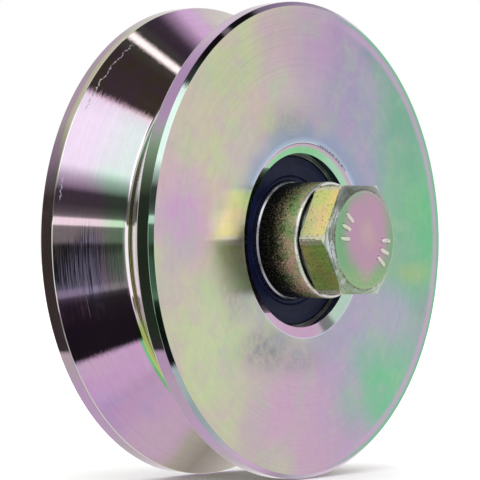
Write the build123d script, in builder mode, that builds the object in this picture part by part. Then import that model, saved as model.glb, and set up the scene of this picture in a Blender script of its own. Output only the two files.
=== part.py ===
"""V-groove track wheel for a sliding gate, on a hexagon bolt with two sealed ball bearings.

Frame: millimetres, +Z up, origin at the wheel's centre. The wheel turns about +Y.
The bolt's head is at the front (-Y) and its threaded tail at the back (+Y).
"""
import os

from build123d import *

os.makedirs("parts", exist_ok=True)

# ---------------------------------------------------------------- wheel
wheel_diameter = 98.0
wheel_width = 29.5
rim_chamfer = 0.85
groove_opening = 22.0          # V groove, 90 degrees included
groove_root_radius = 1.0       # round root of the V
land_edge_round = 0.3
seat_diameter = 40.0           # bearing seat
lip_diameter = 35.8            # opening in the front lip
lip_mouth_diameter = 40.2      # countersunk mouth of the lip
lip_mouth_depth = 0.95
back_mouth_chamfer = 0.3

# ---------------------------------------------------------------- bearings, 17 x 40 x 12
bearing_bore = 17.0
bearing_width = 12.0
ball_diameter = 6.747
ball_count = 8
pitch_diameter = 28.5
race_clearance = 0.03          # ball to raceway, radial
race_groove_radius = 3.5
inner_shoulder_diameter = 24.5
outer_shoulder_diameter = 32.9
seal_recess_diameter = 34.8
seal_seat_diameter = 35.5
ring_chamfer = 0.6
seal_lip_clearance = 0.06
cage_inner_radius = 12.65
cage_outer_radius = 15.95
cage_sheet = 0.6
cage_flat = 0.8
pocket_clearance = 0.15
rivet_radius = 0.6
rivet_head_radius = 1.0
rivet_head_height = 0.45

# ---------------------------------------------------------------- retaining ring for a 40 mm bore
circlip_thickness = 1.75
circlip_groove_width = 1.85
circlip_groove_diameter = 42.5
circlip_outer_radius = 21.2
circlip_inner_radius = 18.1
circlip_taper_shift = 0.45
circlip_lug_radius = 2.7
circlip_lug_hole = 1.25

# ---------------------------------------------------------------- axle
bush_diameter = 23.8
bush_proud = 6.9               # how far each bush stands out of the wheel's face
bush_bore = 14.2
bush_bevel = 0.55
spigot_gap = 0.3               # between the two spigots, inside the bearings
bolt_diameter = 14.0
bolt_length = 70.0             # under the head
bolt_end_chamfer = 1.0
head_across_flats = 22.0
head_height = 8.8
head_face_diameter = 20.1
head_seat_diameter = 20.9      # washer face under the head
head_seat_height = 0.35
head_top_slope = 0.57735       # corners turned off at 30 degrees
head_under_slope = 0.404       # and at 22 degrees underneath
washer_outer = 28.0
washer_inner = 15.0
washer_thickness = 2.5
spring_outer = 24.1
spring_inner = 14.3
spring_thickness = 3.0
spring_cut = 1.3
nut_height = 11.0
thread_engaged_radius = 6.35   # engaged thread at its pitch radius
nut_bore_clearance = 0.02

# ---------------------------------------------------------------- derived positions along Y
R = wheel_diameter / 2
face = wheel_width / 2                     # 14.75
stack = bearing_width                      # two bearings meet at y = 0
bush_end = face + bush_proud               # 21.65
head_top = bush_end + head_height
bolt_end = -bush_end + bolt_length
washer_y = bush_end
spring_y = washer_y + washer_thickness
nut_y = spring_y + spring_thickness
nut_end = nut_y + nut_height

# ================================================================ wheel body
with BuildPart() as wheel_body:
    with BuildSketch(Plane.XY) as wheel_profile:
        with BuildLine():
            Polyline(
                (lip_mouth_diameter / 2, -face),
                (R - rim_chamfer, -face),
                (R, -face + rim_chamfer),
                (R, -groove_opening / 2),
                (R - groove_opening / 2, 0),
                (R, groove_opening / 2),
                (R, face - rim_chamfer),
                (R - rim_chamfer, face),
                (seat_diameter / 2 + back_mouth_chamfer, face),
                (seat_diameter / 2, face - back_mouth_chamfer),
                (seat_diameter / 2, stack + circlip_groove_width),
                (circlip_groove_diameter / 2, stack + circlip_groove_width),
                (circlip_groove_diameter / 2, stack),
                (seat_diameter / 2, stack),
                (seat_diameter / 2, -stack),
                (lip_diameter / 2, -stack),
                (lip_diameter / 2, -face + lip_mouth_depth),
                close=True,
            )
        make_face()
        root = wheel_profile.vertices().filter_by(lambda v: abs(v.Y) < 0.01 and v.X > 30)
        fillet(root, radius=groove_root_radius)
        land_edges = wheel_profile.vertices().filter_by(
            lambda v: abs(abs(v.Y) - groove_opening / 2) < 0.01 and abs(v.X - R) < 0.01
        )
        fillet(land_edges, radius=land_edge_round)
    revolve(axis=Axis.Y, revolution_arc=360)
wheel_body.part.label = "wheel_body"
export_step(wheel_body.part, "parts/wheel_body.step")

# ================================================================ bearings
for side, s in (("front", -1), ("back", 1)):
    mid = s * bearing_width / 2            # centre plane of this bearing
    w = bearing_width / 2
    pitch = pitch_diameter / 2
    ball_r = ball_diameter / 2

    # outer ring: raceway, two shoulders and a seal seat at each side
    race_out = pitch + ball_r + race_clearance
    with BuildPart() as outer_ring:
        with BuildSketch(Plane.XY) as outer_profile:
            with BuildLine():
                Polyline(
                    (seat_diameter / 2 - ring_chamfer, mid - w),
                    (seat_diameter / 2, mid - w + ring_chamfer),
                    (seat_diameter / 2, mid + w - ring_chamfer),
                    (seat_diameter / 2 - ring_chamfer, mid + w),
                    (seal_recess_diameter / 2 + 0.2, mid + w),
                    (seal_recess_diameter / 2, mid + w - 0.2),
                    (seal_recess_diameter / 2, mid + w - 0.7),
                    (seal_seat_diameter / 2, mid + w - 0.95),
                    (seal_seat_diameter / 2, mid + w - 1.7),
                    (outer_shoulder_diameter / 2, mid + w - 1.7),
                    (outer_shoulder_diameter / 2, mid - w + 1.7),
                    (seal_seat_diameter / 2, mid - w + 1.7),
                    (seal_seat_diameter / 2, mid - w + 0.95),
                    (seal_recess_diameter / 2, mid - w + 0.7),
                    (seal_recess_diameter / 2, mid - w + 0.2),
                    (seal_recess_diameter / 2 + 0.2, mid - w),
                    close=True,
                )
            make_face()
            with Locations((race_out - race_groove_radius, mid)):
                Circle(race_groove_radius, mode=Mode.SUBTRACT)
        revolve(axis=Axis.Y, revolution_arc=360)
    outer_ring.part.label = f"{side}_outer_ring"
    export_step(outer_ring.part, f"parts/{side}_outer_ring.step")

    # inner ring: raceway between two shoulders
    race_in = pitch - ball_r - race_clearance
    with BuildPart() as inner_ring:
        with BuildSketch(Plane.XY) as inner_profile:
            with BuildLine():
                Polyline(
                    (bearing_bore / 2 + 0.4, mid - w),
                    (inner_shoulder_diameter / 2 - 0.3, mid - w),
                    (inner_shoulder_diameter / 2, mid - w + 0.3),
                    (inner_shoulder_diameter / 2, mid + w - 0.3),
                    (inner_shoulder_diameter / 2 - 0.3, mid + w),
                    (bearing_bore / 2 + 0.4, mid + w),
                    (bearing_bore / 2, mid + w - 0.4),
                    (bearing_bore / 2, mid - w + 0.4),
                    close=True,
                )
            make_face()
            with Locations((race_in + race_groove_radius, mid)):
                Circle(race_groove_radius, mode=Mode.SUBTRACT)
        revolve(axis=Axis.Y, revolution_arc=360)
    inner_ring.part.label = f"{side}_inner_ring"
    export_step(inner_ring.part, f"parts/{side}_inner_ring.step")

    # balls
    with BuildPart(Plane.XZ.offset(-mid)) as balls:
        with PolarLocations(pitch, ball_count):
            Sphere(ball_r)
    balls.part.label = f"{side}_balls"
    export_step(balls.part, f"parts/{side}_balls.step")

    # pressed ribbon cage: a flat ring with domed pockets, one half each side of the balls
    for half, h in (("outboard", s), ("inboard", -s)):
        with BuildPart(Plane.XZ.offset(-mid)) as cage_half:
            with BuildSketch(Plane.XZ.offset(-mid)):
                Circle(cage_outer_radius)
                Circle(cage_inner_radius, mode=Mode.SUBTRACT)
            extrude(amount=-h * cage_flat)
            with PolarLocations(pitch, ball_count):
                Sphere(ball_r + pocket_clearance + cage_sheet)
            with BuildSketch(Plane.XZ.offset(-mid)):
                Circle(cage_outer_radius)
                Circle(cage_inner_radius, mode=Mode.SUBTRACT)
            extrude(amount=-h * 5.0, mode=Mode.INTERSECT)
            with PolarLocations(pitch, ball_count):
                Sphere(ball_r + pocket_clearance, mode=Mode.SUBTRACT)
            with BuildSketch(Plane.XZ.offset(-mid)):
                with PolarLocations(pitch, ball_count, start_angle=180 / ball_count):
                    Circle(rivet_radius + 0.02)
            extrude(amount=-h * cage_flat, mode=Mode.SUBTRACT)
        cage_half.part.label = f"{side}_cage_{half}"
        export_step(cage_half.part, f"parts/{side}_cage_{half}.step")

    # cage rivets, one between each two balls, a flat head at both ends
    with BuildPart() as rivets:
        with BuildSketch(Plane.XZ.offset(-mid - cage_flat)):
            with PolarLocations(pitch, ball_count, start_angle=180 / ball_count):
                Circle(rivet_radius)
        extrude(amount=2 * cage_flat)
        with BuildSketch(Plane.XZ.offset(-mid + cage_flat)):
            with PolarLocations(pitch, ball_count, start_angle=180 / ball_count):
                Circle(rivet_head_radius)
        extrude(amount=rivet_head_height, taper=18)
        with BuildSketch(Plane.XZ.offset(-mid - cage_flat)):
            with PolarLocations(pitch, ball_count, start_angle=180 / ball_count):
                Circle(rivet_head_radius)
        extrude(amount=-rivet_head_height, taper=18)
    rivets.part.label = f"{side}_cage_rivets"
    export_step(rivets.part, f"parts/{side}_cage_rivets.step")

    # rubber seals: bead in the outer ring's seat, dished face, lip close to the inner ring
    lip_r = inner_shoulder_diameter / 2 + seal_lip_clearance
    for half, h in (("outboard", s), ("inboard", -s)):
        with BuildPart() as seal:
            with BuildSketch(Plane.XY):
                with BuildLine():
                    Polyline(
                        (lip_r, mid + h * (w - 1.55)),
                        (lip_r, mid + h * (w - 1.2)),
                        (lip_r + 0.25, mid + h * (w - 1.1)),
                        (lip_r + 0.7, mid + h * (w - 1.1)),
                        (lip_r + 1.15, mid + h * (w - 0.75)),
                        (16.1, mid + h * (w - 0.55)),
                        (16.5, mid + h * (w - 0.35)),
                        (17.2, mid + h * (w - 0.35)),
                        (17.35, mid + h * (w - 0.5)),
                        (17.35, mid + h * (w - 0.75)),
                        (17.65, mid + h * (w - 1.05)),
                        (17.65, mid + h * (w - 1.6)),
                        (16.3, mid + h * (w - 1.6)),
                        (16.1, mid + h * (w - 1.35)),
                        (lip_r + 1.3, mid + h * (w - 1.5)),
                        close=True,
                    )
                make_face()
            revolve(axis=Axis.Y, revolution_arc=360)
        seal.part.label = f"{side}_seal_{half}"
        export_step(seal.part, f"parts/{side}_seal_{half}.step")

# ================================================================ retaining ring in the back of the hub
with BuildPart() as bearing_circlip:
    with BuildSketch(Plane.XZ.offset(-(stack + 0.05))):
        Circle(circlip_outer_radius)
        with Locations((0, circlip_taper_shift)):
            Circle(circlip_inner_radius, mode=Mode.SUBTRACT)
        # gap between the two ends
        with Locations((0, 20)):
            Rectangle(9.0, 8.0, mode=Mode.SUBTRACT)
        # the two eyes for the pliers
        with Locations((-5.4, 17.1), (5.4, 17.1)):
            Circle(circlip_lug_radius)
        with Locations((0, 20)):
            Rectangle(5.2, 14.0, mode=Mode.SUBTRACT)
        with Locations((-5.4, 17.0), (5.4, 17.0)):
            Circle(circlip_lug_hole, mode=Mode.SUBTRACT)
    extrude(amount=-circlip_thickness)
bearing_circlip.part.label = "bearing_circlip"
export_step(bearing_circlip.part, "parts/bearing_circlip.step")

# ================================================================ bushes
for side, s in (("front", -1), ("back", 1)):
    with BuildPart() as bush:
        with BuildSketch(Plane.XY):
            with BuildLine():
                Polyline(
                    (bush_bore / 2, s * (spigot_gap / 2 + 0.3)),
                    (bush_bore / 2 + 0.3, s * spigot_gap / 2),
                    (bearing_bore / 2 - 0.4, s * spigot_gap / 2),
                    (bearing_bore / 2, s * (spigot_gap / 2 + 0.4)),
                    (bearing_bore / 2, s * stack),
                    (bush_diameter / 2 - 0.3, s * stack),
                    (bush_diameter / 2, s * (stack + 0.3)),
                    (bush_diameter / 2, s * (bush_end - bush_bevel)),
                    (bush_diameter / 2 - bush_bevel, s * bush_end),
                    (bush_bore / 2 + 0.8, s * bush_end),
                    (bush_bore / 2, s * (bush_end - 0.8)),
                    close=True,
                )
            make_face()
        revolve(axis=Axis.Y, revolution_arc=360)
    bush.part.label = f"{side}_bush"
    export_step(bush.part, f"parts/{side}_bush.step")

# ================================================================ axle bolt
with BuildPart() as axle_bolt:
    # hexagon, one corner pointing along -X
    with BuildSketch(Plane.XZ.offset(bush_end)):
        RegularPolygon(head_across_flats / 2, 6, major_radius=False)
    extrude(amount=head_height)
    # corners turned off at both ends of the hexagon
    with BuildSketch(Plane.XY):
        with BuildLine():
            Polyline(
                (0, -bush_end),
                (head_seat_diameter / 2, -bush_end),
                (head_seat_diameter / 2, -bush_end - head_seat_height),
                (head_seat_diameter / 2 + 3.6, -bush_end - head_seat_height - 3.6 * head_under_slope),
                (head_face_diameter / 2 + 4.0, -head_top + 4.0 * head_top_slope),
                (head_face_diameter / 2, -head_top),
                (0, -head_top),
                close=True,
            )
        make_face()
    revolve(axis=Axis.Y, revolution_arc=360, mode=Mode.INTERSECT)
    # shank, engaged thread inside the nut, free tail
    with BuildSketch(Plane.XY):
        with BuildLine():
            Polyline(
                (0, -bush_end - 1.0),
                (bolt_diameter / 2, -bush_end - 1.0),
                (bolt_diameter / 2, nut_y),
                (thread_engaged_radius, nut_y),
                (thread_engaged_radius, nut_end),
                (bolt_diameter / 2, nut_end),
                (bolt_diameter / 2, bolt_end - bolt_end_chamfer),
                (bolt_diameter / 2 - bolt_end_chamfer, bolt_end),
                (0, bolt_end),
                close=True,
            )
        make_face()
    revolve(axis=Axis.Y, revolution_arc=360)
axle_bolt.part.label = "axle_bolt"
export_step(axle_bolt.part, "parts/axle_bolt.step")

# ================================================================ washers and nut
with BuildPart() as plain_washer:
    with BuildSketch(Plane.XZ.offset(-washer_y)):
        Circle(washer_outer / 2)
        Circle(washer_inner / 2, mode=Mode.SUBTRACT)
    extrude(amount=-washer_thickness)
    rims = plain_washer.edges().filter_by(
        lambda e: e.geom_type == GeomType.CIRCLE and abs(e.radius - washer_outer / 2) < 0.01
    )
    chamfer(rims, length=0.3)
plain_washer.part.label = "plain_washer"
export_step(plain_washer.part, "parts/plain_washer.step")

with BuildPart() as spring_washer:
    with BuildSketch(Plane.XZ.offset(-spring_y)):
        Circle(spring_outer / 2)
        Circle(spring_inner / 2, mode=Mode.SUBTRACT)
    extrude(amount=-spring_thickness)
    # slanted cut through one side of the ring
    with BuildSketch(Plane.XY.offset(spring_inner / 2 - 1.0)):
        with BuildLine():
            Polyline(
                (-1.6, spring_y - 0.5),
                (-1.6 + spring_cut, spring_y - 0.5),
                (0.6 + spring_cut, spring_y + spring_thickness + 0.5),
                (0.6, spring_y + spring_thickness + 0.5),
                close=True,
            )
        make_face()
    extrude(amount=8.0, mode=Mode.SUBTRACT)
spring_washer.part.label = "spring_washer"
export_step(spring_washer.part, "parts/spring_washer.step")

with BuildPart() as axle_nut:
    with BuildSketch(Plane.XZ.offset(-nut_y)):
        RegularPolygon(head_across_flats / 2, 6, major_radius=False, rotation=14)
    extrude(amount=-nut_height)
    with BuildSketch(Plane.XY):
        with BuildLine():
            Polyline(
                (0, nut_y),
                (head_seat_diameter / 2, nut_y),
                (head_seat_diameter / 2 + 4.0, nut_y + 4.0 * head_top_slope),
                (head_seat_diameter / 2 + 4.0, nut_end - 4.0 * head_top_slope),
                (head_seat_diameter / 2, nut_end),
                (0, nut_end),
                close=True,
            )
        make_face()
    revolve(axis=Axis.Y, revolution_arc=360, mode=Mode.INTERSECT)
    with BuildSketch(Plane.XY):
        with BuildLine():
            Polyline(
                (0, nut_y - 0.1),
                (bolt_diameter / 2 + 0.6, nut_y - 0.1),
                (bolt_diameter / 2 + 0.5, nut_y),
                (thread_engaged_radius + nut_bore_clearance, nut_y + 0.65),
                (thread_engaged_radius + nut_bore_clearance, nut_end - 0.65),
                (bolt_diameter / 2 + 0.5, nut_end),
                (bolt_diameter / 2 + 0.6, nut_end + 0.1),
                (0, nut_end + 0.1),
                close=True,
            )
        make_face()
    revolve(axis=Axis.Y, revolution_arc=360, mode=Mode.SUBTRACT)
axle_nut.part.label = "axle_nut"
export_step(axle_nut.part, "parts/axle_nut.step")
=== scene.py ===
"""V-groove gate wheel: looks, detail meshes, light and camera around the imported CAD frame. Metres, +Z up, the wheel turns about +Y."""
import math

import bmesh
import bpy
import numpy as np
from mathutils import Matrix, Vector, noise


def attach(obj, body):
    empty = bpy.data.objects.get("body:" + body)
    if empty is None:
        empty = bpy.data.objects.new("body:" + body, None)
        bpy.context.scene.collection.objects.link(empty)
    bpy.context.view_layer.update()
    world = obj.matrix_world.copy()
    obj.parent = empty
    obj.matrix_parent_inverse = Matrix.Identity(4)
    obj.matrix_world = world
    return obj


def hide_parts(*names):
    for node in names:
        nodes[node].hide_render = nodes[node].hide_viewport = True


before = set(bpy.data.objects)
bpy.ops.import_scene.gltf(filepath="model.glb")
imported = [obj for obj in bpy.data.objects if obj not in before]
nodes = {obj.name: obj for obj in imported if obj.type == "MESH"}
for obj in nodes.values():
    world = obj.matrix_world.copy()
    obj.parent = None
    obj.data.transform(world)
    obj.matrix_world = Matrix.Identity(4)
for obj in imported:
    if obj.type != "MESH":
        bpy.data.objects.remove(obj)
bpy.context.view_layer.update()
MM = 0.001
scene = bpy.context.scene


# ------------------------------------------------------------------ node helpers
class Graph:
    """Short names for building one node tree."""

    def __init__(self, tree):
        self.tree = tree
        self.tree.nodes.clear()

    def node(self, kind, **props):
        n = self.tree.nodes.new(kind)
        for k, v in props.items():
            setattr(n, k, v)
        return n

    def put(self, value, socket):
        if isinstance(value, bpy.types.NodeSocket):
            self.tree.links.new(value, socket)
        elif isinstance(value, (tuple, list)) and len(value) == 3 and len(socket.default_value) == 4:
            socket.default_value = (*value, 1.0)
        else:
            socket.default_value = value

    def math(self, op, a, b=None, c=None, clamp=False):
        n = self.node("ShaderNodeMath", operation=op, use_clamp=clamp)
        for i, v in enumerate((a, b, c)):
            if v is not None:
                self.put(v, n.inputs[i])
        return n.outputs[0]

    def vmath(self, op, a, b=None, scale=None):
        n = self.node("ShaderNodeVectorMath", operation=op)
        self.put(a, n.inputs[0])
        if b is not None:
            self.put(b, n.inputs[1])
        if scale is not None:
            self.put(scale, n.inputs["Scale"])
        return n.outputs["Value"] if op in ("LENGTH", "DISTANCE", "DOT_PRODUCT") else n.outputs[0]

    def step(self, x, lo, hi, a=0.0, b=1.0):
        """Smooth step of x from a to b over lo..hi."""
        n = self.node("ShaderNodeMapRange", interpolation_type="SMOOTHSTEP")
        if lo > hi:
            lo, hi, a, b = hi, lo, b, a
        for i, v in enumerate((x, lo, hi, a, b)):
            self.put(v, n.inputs[i])
        return n.outputs[0]

    def linear(self, x, lo, hi, a=0.0, b=1.0):
        n = self.node("ShaderNodeMapRange", interpolation_type="LINEAR", clamp=True)
        for i, v in enumerate((x, lo, hi, a, b)):
            self.put(v, n.inputs[i])
        return n.outputs[0]

    def band(self, x, lo, hi, soft):
        return self.math("MULTIPLY", self.step(x, lo - soft, lo + soft), self.step(x, hi + soft, hi - soft))

    def mix(self, fac, a, b, blend="MIX"):
        n = self.node("ShaderNodeMix", data_type="RGBA", blend_type=blend, clamp_factor=True)
        self.put(fac, n.inputs[0])
        self.put(a, n.inputs[6])
        self.put(b, n.inputs[7])
        return n.outputs[2]

    def ramp(self, x, stops, interpolation="LINEAR"):
        n = self.node("ShaderNodeValToRGB")
        n.color_ramp.interpolation = interpolation
        e = n.color_ramp.elements
        while len(e) < len(stops):
            e.new(0.5)
        for el, (p, c) in zip(e, stops):
            el.position = p
            el.color = (*c, 1.0) if isinstance(c, (tuple, list)) else (c, c, c, 1.0)
        self.put(x, n.inputs[0])
        return n.outputs[0]

    def noise(self, vector, scale, detail=2.0, rough=0.5, dims="3D", distortion=0.0, w=None, color=False):
        n = self.node("ShaderNodeTexNoise", noise_dimensions=dims)
        if vector is not None:
            self.put(vector, n.inputs["Vector"])
        if w is not None:
            self.put(w, n.inputs["W"])
        n.inputs["Scale"].default_value = scale
        n.inputs["Detail"].default_value = detail
        n.inputs["Roughness"].default_value = rough
        n.inputs["Distortion"].default_value = distortion
        return n.outputs["Color"] if color else n.outputs[0]

    def combine(self, x, y, z):
        n = self.node("ShaderNodeCombineXYZ")
        for i, v in enumerate((x, y, z)):
            self.put(v, n.inputs[i])
        return n.outputs[0]

    def bump(self, height, strength, distance, normal=None):
        n = self.node("ShaderNodeBump")
        n.inputs["Strength"].default_value = strength
        n.inputs["Distance"].default_value = distance
        self.put(height, n.inputs["Height"])
        if normal is not None:
            self.put(normal, n.inputs["Normal"])
        return n.outputs[0]

    def surface(self, **inputs):
        """A Principled surface wired to the output."""
        p = self.node("ShaderNodeBsdfPrincipled")
        for k, v in inputs.items():
            self.put(v, p.inputs[k.replace("_", " ")])
        out = self.node("ShaderNodeOutputMaterial")
        self.tree.links.new(p.outputs[0], out.inputs[0])
        return p

    def millimetres(self):
        """The piece's own coordinates in millimetres, and x, y, z, the distance from the wheel's axis and the angle about it."""
        t = self.node("ShaderNodeTexCoord")
        mm = self.vmath("SCALE", t.outputs["Object"], scale=1000.0)
        s = self.node("ShaderNodeSeparateXYZ")
        self.put(mm, s.inputs[0])
        x, y, z = s.outputs
        rho = self.math("SQRT", self.math("ADD", self.math("MULTIPLY", x, x), self.math("MULTIPLY", z, z)))
        # angle from the camera-side -X direction, up positive, in degrees
        ang = self.math("MULTIPLY", self.math("ARCTAN2", z, self.math("MULTIPLY", x, -1.0)), 180 / math.pi)
        return mm, x, y, z, rho, ang

    def around_y(self):
        n = self.node("ShaderNodeTangent", direction_type="RADIAL", axis="Y")
        return n.outputs[0]


def srgb(r, g, b):
    """0-255 display colour to linear."""
    f = lambda c: c / 12.92 if c <= 0.04045 else ((c + 0.055) / 1.055) ** 2.4
    return tuple(f(v / 255) for v in (r, g, b))


def material(name):
    m = bpy.data.materials.new(name)
    m.use_nodes = True
    return m, Graph(m.node_tree)


# ------------------------------------------------------------------ mesh helpers
def line(p, q, n=1, grow=None):
    """Straight run of a turned profile from p to q in (radius, y) millimetres, cut in n, or at the given shares."""
    cuts = grow if grow is not None else [i / n for i in range(n + 1)]
    dx, dy = q[0] - p[0], q[1] - p[1]
    ln = math.hypot(dx, dy)
    nrm = (dy / ln, -dx / ln)
    pts = [(p[0] + dx * t, p[1] + dy * t) for t in cuts]
    return [(pts[i], nrm, pts[i + 1], nrm) for i in range(len(pts) - 1)]


def rounded(points, radii, cuts, closed=True, arc_steps=4):
    """Profile runs through points, walking with the material on the left, with each corner rounded by its radius."""
    n = len(points)
    corner = []
    for i in range(n):
        p = np.array(points[i], float)
        r = radii[i]
        if r <= 0 or (not closed and i in (0, n - 1)):
            corner.append((p, p, None))
            continue
        a, b = np.array(points[i - 1], float), np.array(points[(i + 1) % n], float)
        u, v = (a - p) / np.linalg.norm(a - p), (b - p) / np.linalg.norm(b - p)
        half = math.acos(max(-1, min(1, float(u @ v)))) / 2
        t = r / math.tan(half)
        c = p + (u + v) / np.linalg.norm(u + v) * (r / math.sin(half))
        corner.append((p + u * t, p + v * t, (c, r)))
    runs = []
    count = n if closed else n - 1
    for i in range(n):
        start, end, arc = corner[i]
        if arc is not None:
            c, r = arc
            a0 = math.atan2(*(start - c)[::-1])
            a1 = math.atan2(*(end - c)[::-1])
            while a1 - a0 > math.pi:
                a1 -= 2 * math.pi
            while a1 - a0 < -math.pi:
                a1 += 2 * math.pi
            turn = a1 - a0
            steps = max(2, int(arc_steps * abs(turn) / (math.pi / 4) + 0.5))
            sign = 1.0 if turn > 0 else -1.0
            prev = None
            for k in range(steps + 1):
                ang = a0 + turn * k / steps
                pt = (c[0] + r * math.cos(ang), c[1] + r * math.sin(ang))
                nm = (sign * math.cos(ang), sign * math.sin(ang))
                if prev:
                    runs.append((prev[0], prev[1], pt, nm))
                prev = (pt, nm)
        if i < count:
            nxt = corner[(i + 1) % n][0]
            if np.linalg.norm(nxt - end) > 1e-6:
                runs += line(tuple(end), tuple(nxt), n=cuts[i] if isinstance(cuts[i], int) else 1, grow=None if isinstance(cuts[i], int) else cuts[i])
    return runs


def lathe(name, runs, seg, wobble=None):
    """Closed turned mesh from profile runs, with exact shading normals. wobble(radius, y, angle) shifts a point outwards, in millimetres."""
    pts, index, rows = [], {}, []
    for p, _, q, _ in runs:
        for e in (p, q):
            k = (round(e[0], 6), round(e[1], 6))
            if k not in index:
                index[k] = len(pts)
                pts.append(k)
    ca = np.cos(np.arange(seg) * 2 * math.pi / seg)
    sa = np.sin(np.arange(seg) * 2 * math.pi / seg)
    verts = np.zeros((len(pts), seg, 3))
    for i, (r, y) in enumerate(pts):
        if r < 1e-6:
            verts[i, :] = (0, y, 0)
            continue
        rr = np.full(seg, r)
        if wobble:
            rr = rr + np.array([wobble(r, y, 2 * math.pi * k / seg) for k in range(seg)])
        verts[i, :, 0], verts[i, :, 1], verts[i, :, 2] = rr * ca, y, rr * sa
    vid, flat = {}, []
    for i, (r, y) in enumerate(pts):
        for k in range(seg):
            if r < 1e-6:
                if (i, 0) not in vid:
                    vid[(i, 0)] = len(flat)
                    flat.append(verts[i, 0])
                vid[(i, k)] = vid[(i, 0)]
            else:
                vid[(i, k)] = len(flat)
                flat.append(verts[i, k])
    faces, normals = [], []
    for p, np_, q, nq in runs:
        a = index[(round(p[0], 6), round(p[1], 6))]
        b = index[(round(q[0], 6), round(q[1], 6))]
        for k in range(seg):
            k2 = (k + 1) % seg
            n = lambda m, j: (m[0] * ca[j], m[1], m[0] * sa[j])
            loop = [(vid[(a, k)], n(np_, k)), (vid[(b, k)], n(nq, k)), (vid[(b, k2)], n(nq, k2)), (vid[(a, k2)], n(np_, k2))]
            if loop[0][0] == loop[3][0]:
                loop = loop[:3]
            elif loop[1][0] == loop[2][0]:
                loop = [loop[0], loop[1], loop[3]]
            faces.append([v for v, _ in loop])
            normals += [m for _, m in loop]
    co = np.array(flat) * MM
    # wind every face so that it looks along its normals
    f0, at = faces[0], 0
    P = [co[v] for v in f0[:3]]
    if float(np.cross(P[1] - P[0], P[2] - P[0]) @ np.array(normals[0])) < 0:
        out = []
        for f in faces:
            n = len(f)
            out += normals[at : at + n][::-1]
            at += n
        faces = [f[::-1] for f in faces]
        normals = out
    me = bpy.data.meshes.new(name)
    me.from_pydata([tuple(c) for c in co], [], faces)
    me.update()
    me.shade_smooth()
    me.normals_split_custom_set([tuple(v) for v in normals])
    ob = bpy.data.objects.new(name, me)
    scene.collection.objects.link(ob)
    return ob


def grid_object(name, verts, faces, smooth_angle=32):
    me = bpy.data.meshes.new(name)
    me.from_pydata([tuple(v) for v in verts], [], faces)
    me.validate()
    bm = bmesh.new()
    bm.from_mesh(me)
    bmesh.ops.remove_doubles(bm, verts=bm.verts, dist=2e-7)
    bmesh.ops.dissolve_degenerate(bm, edges=bm.edges, dist=2e-7)
    bmesh.ops.recalc_face_normals(bm, faces=bm.faces)
    for f in bm.faces:
        f.smooth = True
    for e in bm.edges:
        if len(e.link_faces) == 2 and e.calc_face_angle(0) > math.radians(smooth_angle):
            e.smooth = False
    bm.to_mesh(me)
    bm.free()
    ob = bpy.data.objects.new(name, me)
    scene.collection.objects.link(ob)
    return ob


# ================================================================== meshes
# ------------------------------------------------------------------ wheel body
R, FACE = 48.985, 14.75
EDGE = 0.12  # broken edges
near = [0, 0.01, 0.03, 0.08, 0.2, 0.4, 0.6, 0.8, 0.92, 0.97, 0.99, 1]
wheel_runs = rounded(
    [
        (20.1, -FACE), (R - 0.85, -FACE), (R, -FACE + 0.85), (R, -11.0), (R - 11.0, 0.0), (R, 11.0),
        (R, FACE - 0.85), (R - 0.85, FACE), (20.3, FACE), (20.0, FACE - 0.3), (20.0, 13.85), (21.25, 13.85),
        (21.25, 12.0), (20.0, 12.0), (20.0, -12.0), (17.9, -12.0), (17.9, -FACE + 0.95),
    ],
    [0.1, EDGE, EDGE, 0.3, 1.0, 0.3, EDGE, EDGE, 0.08, 0.08, 0.05, 0.05, 0.05, 0.05, 0.15, 0.06, 0.1],
    [near, 3, 4, near, near, 4, 3, near, 1, 1, 1, 1, 1, 3, 1, 2, 3],
    arc_steps=5,
)
wheel = lathe("wheel_turned_body", wheel_runs, 512)
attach(wheel, "wheel")
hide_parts("wheel_body")

# ------------------------------------------------------------------ hexagon helper
def hex_radius(ang, across, corner, turn=0.0):
    """Distance from the axis to a hexagon with rounded corners. turn is the angle of one corner."""
    a = (ang - turn + math.pi / 6) % (math.pi / 3) - math.pi / 6  # angle from the nearest corner
    half = across / 2
    dc = (half - corner) / math.cos(math.pi / 6)
    tangent = math.atan2(corner * math.sin(math.pi / 6), dc + corner * math.cos(math.pi / 6))
    if abs(a) >= tangent:
        return half / math.cos(math.pi / 6 - abs(a))
    return dc * math.cos(a) + math.sqrt(max(0.0, corner**2 - (dc * math.sin(a)) ** 2))


def fbm(p, scale, octaves=3, seed=0.0):
    v, amp, s = 0.0, 1.0, scale
    for _ in range(octaves):
        v += amp * noise.noise(Vector((p[0] * s + seed, p[1] * s + 3.1, p[2] * s - 1.7)))
        amp *= 0.5
        s *= 2.1
    return v


# ------------------------------------------------------------------ bolt: forged head, shank, rolled thread
SEG = 240
HEAD_TOP, BUSH_END, BOLT_END = -30.45, -21.65, 48.35
FACE_R, SEAT_R = 10.05, 10.45
MARK = 0.34  # height of the raised marks over the head's face


def mark_height(x, z):
    """Two groups of three raised radial ticks, in millimetres over the face."""
    r, a = math.hypot(x, z), math.degrees(math.atan2(z, x))
    best = 0.0
    for centre in (159.0, -21.0):
        for off in (-19.0, 0.0, 19.0):
            d = math.radians((a - centre - off + 180) % 360 - 180)
            side = abs(r * math.sin(d))
            along = max(0.0, abs(r * math.cos(d) - 6.9) - 1.05)
            dist = math.hypot(side, along)
            best = max(best, 1 - max(0.0, min(1.0, (dist - 0.30) / 0.26)))
    return MARK * best * best * (3 - 2 * best)


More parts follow.
